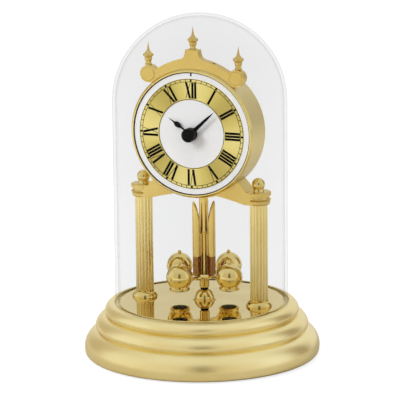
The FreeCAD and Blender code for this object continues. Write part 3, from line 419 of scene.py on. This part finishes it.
def slanted(low_x, high_x, width):
    """A leaning stroke from the foot to the head of the letter."""
    tall, half = NUMERAL_HIGH - NUMERAL_LOW, width / 2
    return [[(low_x - half, 0), (low_x + half, 0), (high_x + half, tall), (high_x - half, tall)]]


def letter_v(x):
    """The letter V about x: a thick left stroke and a hairline right stroke."""
    return slanted(x, x - 1.45 * MM, THICK) + slanted(x + 0.1 * MM, x + 1.7 * MM, HAIR)


def letter_x(x):
    """The letter X about x: a thick falling stroke and a hairline rising one."""
    return slanted(x + 1.3 * MM, x - 1.3 * MM, THICK) + slanted(x - 1.5 * MM, x + 1.5 * MM, HAIR)


WIDTHS = {"I": THICK + STROKE_GAP, "V": 4.2 * MM, "X": 4.1 * MM}
LETTERS = {"I": upright, "V": letter_v, "X": letter_x}
HOURS = ["XII", "I", "II", "III", "IIII", "V", "VI", "VII", "VIII", "IX", "X", "XI"]


def clockwise(points, degrees):
    """Points turned clockwise about the dial's centre."""
    angle = math.radians(degrees)
    return [(x * math.cos(angle) + z * math.sin(angle), z * math.cos(angle) - x * math.sin(angle))
            for x, z in points]


def make_numerals(ink):
    """Roman hours with their feet towards the centre, one piece for each hour."""
    for hour, word in enumerate(HOURS):
        total = sum(WIDTHS[letter] for letter in word)
        x, strokes = -total / 2, []
        for letter in word:
            strokes += LETTERS[letter](x + WIDTHS[letter] / 2)
            x += WIDTHS[letter]
        polygons = [clockwise([(px, pz + NUMERAL_LOW) for px, pz in stroke],
                              DEGREES_PER_HOUR * hour) for stroke in strokes]
        flat_piece("numeral_%02d" % (hour or 12), polygons, CHAPTER_Y - INK_THICK, ink)


def make_minute_track(ink):
    """Railway minute track: two fine circles, sixty ticks and a block at each hour."""
    front = CHAPTER_Y - INK_THICK
    inner, outer = 33.5 * MM, 35.2 * MM
    line, tick, block, past = 0.3 * MM, 0.4 * MM, 1.2 * MM, 0.1 * MM
    ring_piece("track_outer_line", outer + line / 2, outer - line / 2, front, ink)
    ring_piece("track_inner_line", inner + line / 2, inner - line / 2, front, ink)
    ticks, blocks = [], []
    for minute in range(60):
        if minute % 5:
            bar = [(-tick / 2, inner), (tick / 2, inner), (tick / 2, outer), (-tick / 2, outer)]
            ticks.append(clockwise(bar, DEGREES_PER_MINUTE * minute))
        else:
            bar = [(-block / 2, inner - past), (block / 2, inner - past),
                   (block / 2, outer + past), (-block / 2, outer + past)]
            blocks.append(clockwise(bar, DEGREES_PER_MINUTE * minute))
    flat_piece("track_minutes", ticks, front, ink)
    flat_piece("track_hour_blocks", blocks, front, ink)


def make_dial_lines(ink):
    """Outline of the white centre, a dark ring of painted shadow and reflection at the dial's edge
    inside the bezel, and the mark over twelve.
    """
    half, low, high = 0.5 * MM, 37.1 * MM, 39.1 * MM
    ring_piece("centre_outline", 22.4 * MM, 22.05 * MM, CHAPTER_Y - INK_THICK, ink)
    # Painted shadow and reflection: a dark ink ring round the dial's rim, where the bezel's wall
    # shades and mirrors it.
    ring_piece("dial_edge_painted_shadow", DIAL_R - 0.2 * MM, DIAL_R - 0.78 * MM, DIAL_Y - INK_THICK, ink)
    mark = [(-half, low), (half, low), (half, high), (-half, high)]
    flat_piece("twelve_mark", [mark], DIAL_Y - INK_THICK, ink)


# ---------------------------------------------------------------- studio
def make_floor():
    """Pale plain floor that the camera sees as an even white; to all other rays it is darker near
    the clock, a painted shade. It is not part of the clock.
    """
    n = Finish("studio_floor")
    n.tree.nodes.remove(n.shader)
    cloud = n.noise(3, 2)
    away = n.add("ShaderNodeVectorMath", {"operation": "LENGTH"}, i0=n.where()).outputs["Value"]
    # Painted shade: the floor's colour darkens towards the clock, seen only in reflections and
    # bounced light.
    painted_floor_shade = n.math("ADD", n.math("MULTIPLY", away, 2.0), n.math("MULTIPLY", cloud, 0.06))
    pale = n.add("ShaderNodeBsdfDiffuse",
                 Color=n.ramp(painted_floor_shade, [(0.32, (0.52, 0.48, 0.42)), (0.95, (0.8, 0.765, 0.7))]))
    lit = n.add("ShaderNodeBsdfDiffuse", Color=n.ramp(cloud, [(0.3, 0.24), (0.7, 0.26)]))
    even = n.add("ShaderNodeAddShader", i0=lit.outputs[0],
                 i1=n.add("ShaderNodeEmission", Strength=0.80).outputs[0])
    seen = n.add("ShaderNodeLightPath").outputs["Is Camera Ray"]
    n.feed(n.output.inputs["Surface"],
           n.add("ShaderNodeMixShader", i0=seen, i1=pale.outputs[0], i2=even.outputs[0]).outputs[0])
    data = bpy.data.meshes.new("floor")
    half = 6.0
    corners = [(-half, -half, 0), (half, -half, 0), (half, half, 0), (-half, half, 0)]
    data.from_pydata(corners, [], [(0, 1, 2, 3)])
    data.materials.append(n.material)
    floor = bpy.data.objects.new("floor", data)
    bpy.context.scene.collection.objects.link(floor)


def area_light(name, place, target, width, height, power, colour):
    """A soft rectangular light aimed at a point."""
    data = bpy.data.lights.new(name, "AREA")
    data.shape = "RECTANGLE"
    data.size, data.size_y = width, height
    data.energy = power
    data.color = colour
    lamp = bpy.data.objects.new(name, data)
    lamp.location = place
    lamp.rotation_euler = (Vector(target) - Vector(place)).to_track_quat("-Z", "Y").to_euler()
    lamp.visible_glossy = False
    bpy.context.scene.collection.objects.link(lamp)


COOL, PALE, MID = (1.0, 1.03, 1.1), (0.9, 0.9, 0.88), (0.84, 0.79, 0.7)
WARM, BROWN, DARK = (0.6, 0.53, 0.42), (0.3, 0.23, 0.15), (0.22, 0.19, 0.14)
CEILING = (0.88, 0.9, 0.92, 1)
# (degrees round from the front of the dial towards its right, light there)
AROUND = [(-180, PALE), (-140, PALE), (-125, WARM), (-100, WARM), (-88, COOL), (-48, COOL),
          (-32, MID), (8, MID), (16, DARK), (28, DARK), (36, MID), (72, MID), (88, COOL),
          (116, COOL), (126, WARM), (134, BROWN), (147, BROWN), (155, PALE), (180, PALE)]


def make_world():
    """Photographer's tent: tall cool panels, warm shade between them, a pale ceiling and back."""
    world = bpy.data.worlds.new("studio")
    bpy.context.scene.world = world
    world.use_nodes = True
    n = Nodes(world.node_tree)
    where = n.add("ShaderNodeSeparateXYZ", Vector=n.add("ShaderNodeTexCoord").outputs["Generated"])
    angle = n.math("ARCTAN2", where.outputs[0], n.math("MULTIPLY", where.outputs[1], -1.0))
    turn = n.math("MULTIPLY_ADD", angle, 0.5 / math.pi, 0.5)
    around = n.ramp(turn, [(degrees / 360 + 0.5, light) for degrees, light in AROUND])
    height = n.add("ShaderNodeMapRange", {"interpolation_type": "SMOOTHSTEP"},
                   i0=where.outputs[2], i1=0.45, i2=0.85).outputs[0]
    light = n.add("ShaderNodeMix", {"data_type": "RGBA"}, i0=height, i6=around, i7=CEILING)
    back = n.tree.nodes["Background"]
    n.feed(back.inputs["Color"], light.outputs[2])
    white = n.add("ShaderNodeBackground", Color=(1, 1, 1, 1))
    seen = n.add("ShaderNodeLightPath").outputs["Is Camera Ray"]
    mix = n.add("ShaderNodeMixShader", i0=seen, i1=back.outputs[0], i2=white.outputs[0])
    n.feed(n.tree.nodes["World Output"].inputs[0], mix.outputs[0])


def make_camera():
    """Camera above the dial and to its right, looking a little down, with a slight roll."""
    turn, distance, height = math.radians(22.0), 1.751, 0.4868
    down, roll = 12.41, math.radians(-0.61)
    data = bpy.data.cameras.new("camera")
    data.lens = 251.3
    data.shift_x = -0.0018
    data.shift_y = -0.001
    data.sensor_width = 36
    data.clip_end = 50
    camera = bpy.data.objects.new("camera", data)
    place = (distance * math.sin(turn), -distance * math.cos(turn), height)
    aim = Matrix.Rotation(turn, 4, "Z") @ Matrix.Rotation(math.radians(90 - down), 4, "X")
    camera.matrix_world = Matrix.Translation(place) @ aim @ Matrix.Rotation(roll, 4, "Z")
    bpy.context.scene.collection.objects.link(camera)
    bpy.context.scene.camera = camera


finish_nodes()
ink = black_finish("dial_black_ink", 0.6, 1500)
make_numerals(ink)
make_minute_track(ink)
make_dial_lines(ink)
make_floor()
make_world()
area_light("key", (-0.9, -1.1, 1.0), (0, 0, 0.12), 0.5, 0.7, 18, (0.93, 0.97, 1.0))
area_light("top", (0.1, -0.2, 1.5), (0, 0, 0.1), 0.9, 0.9, 5.5, (0.95, 0.98, 1.0))
make_camera()
bpy.context.scene.view_settings.view_transform = "Standard"
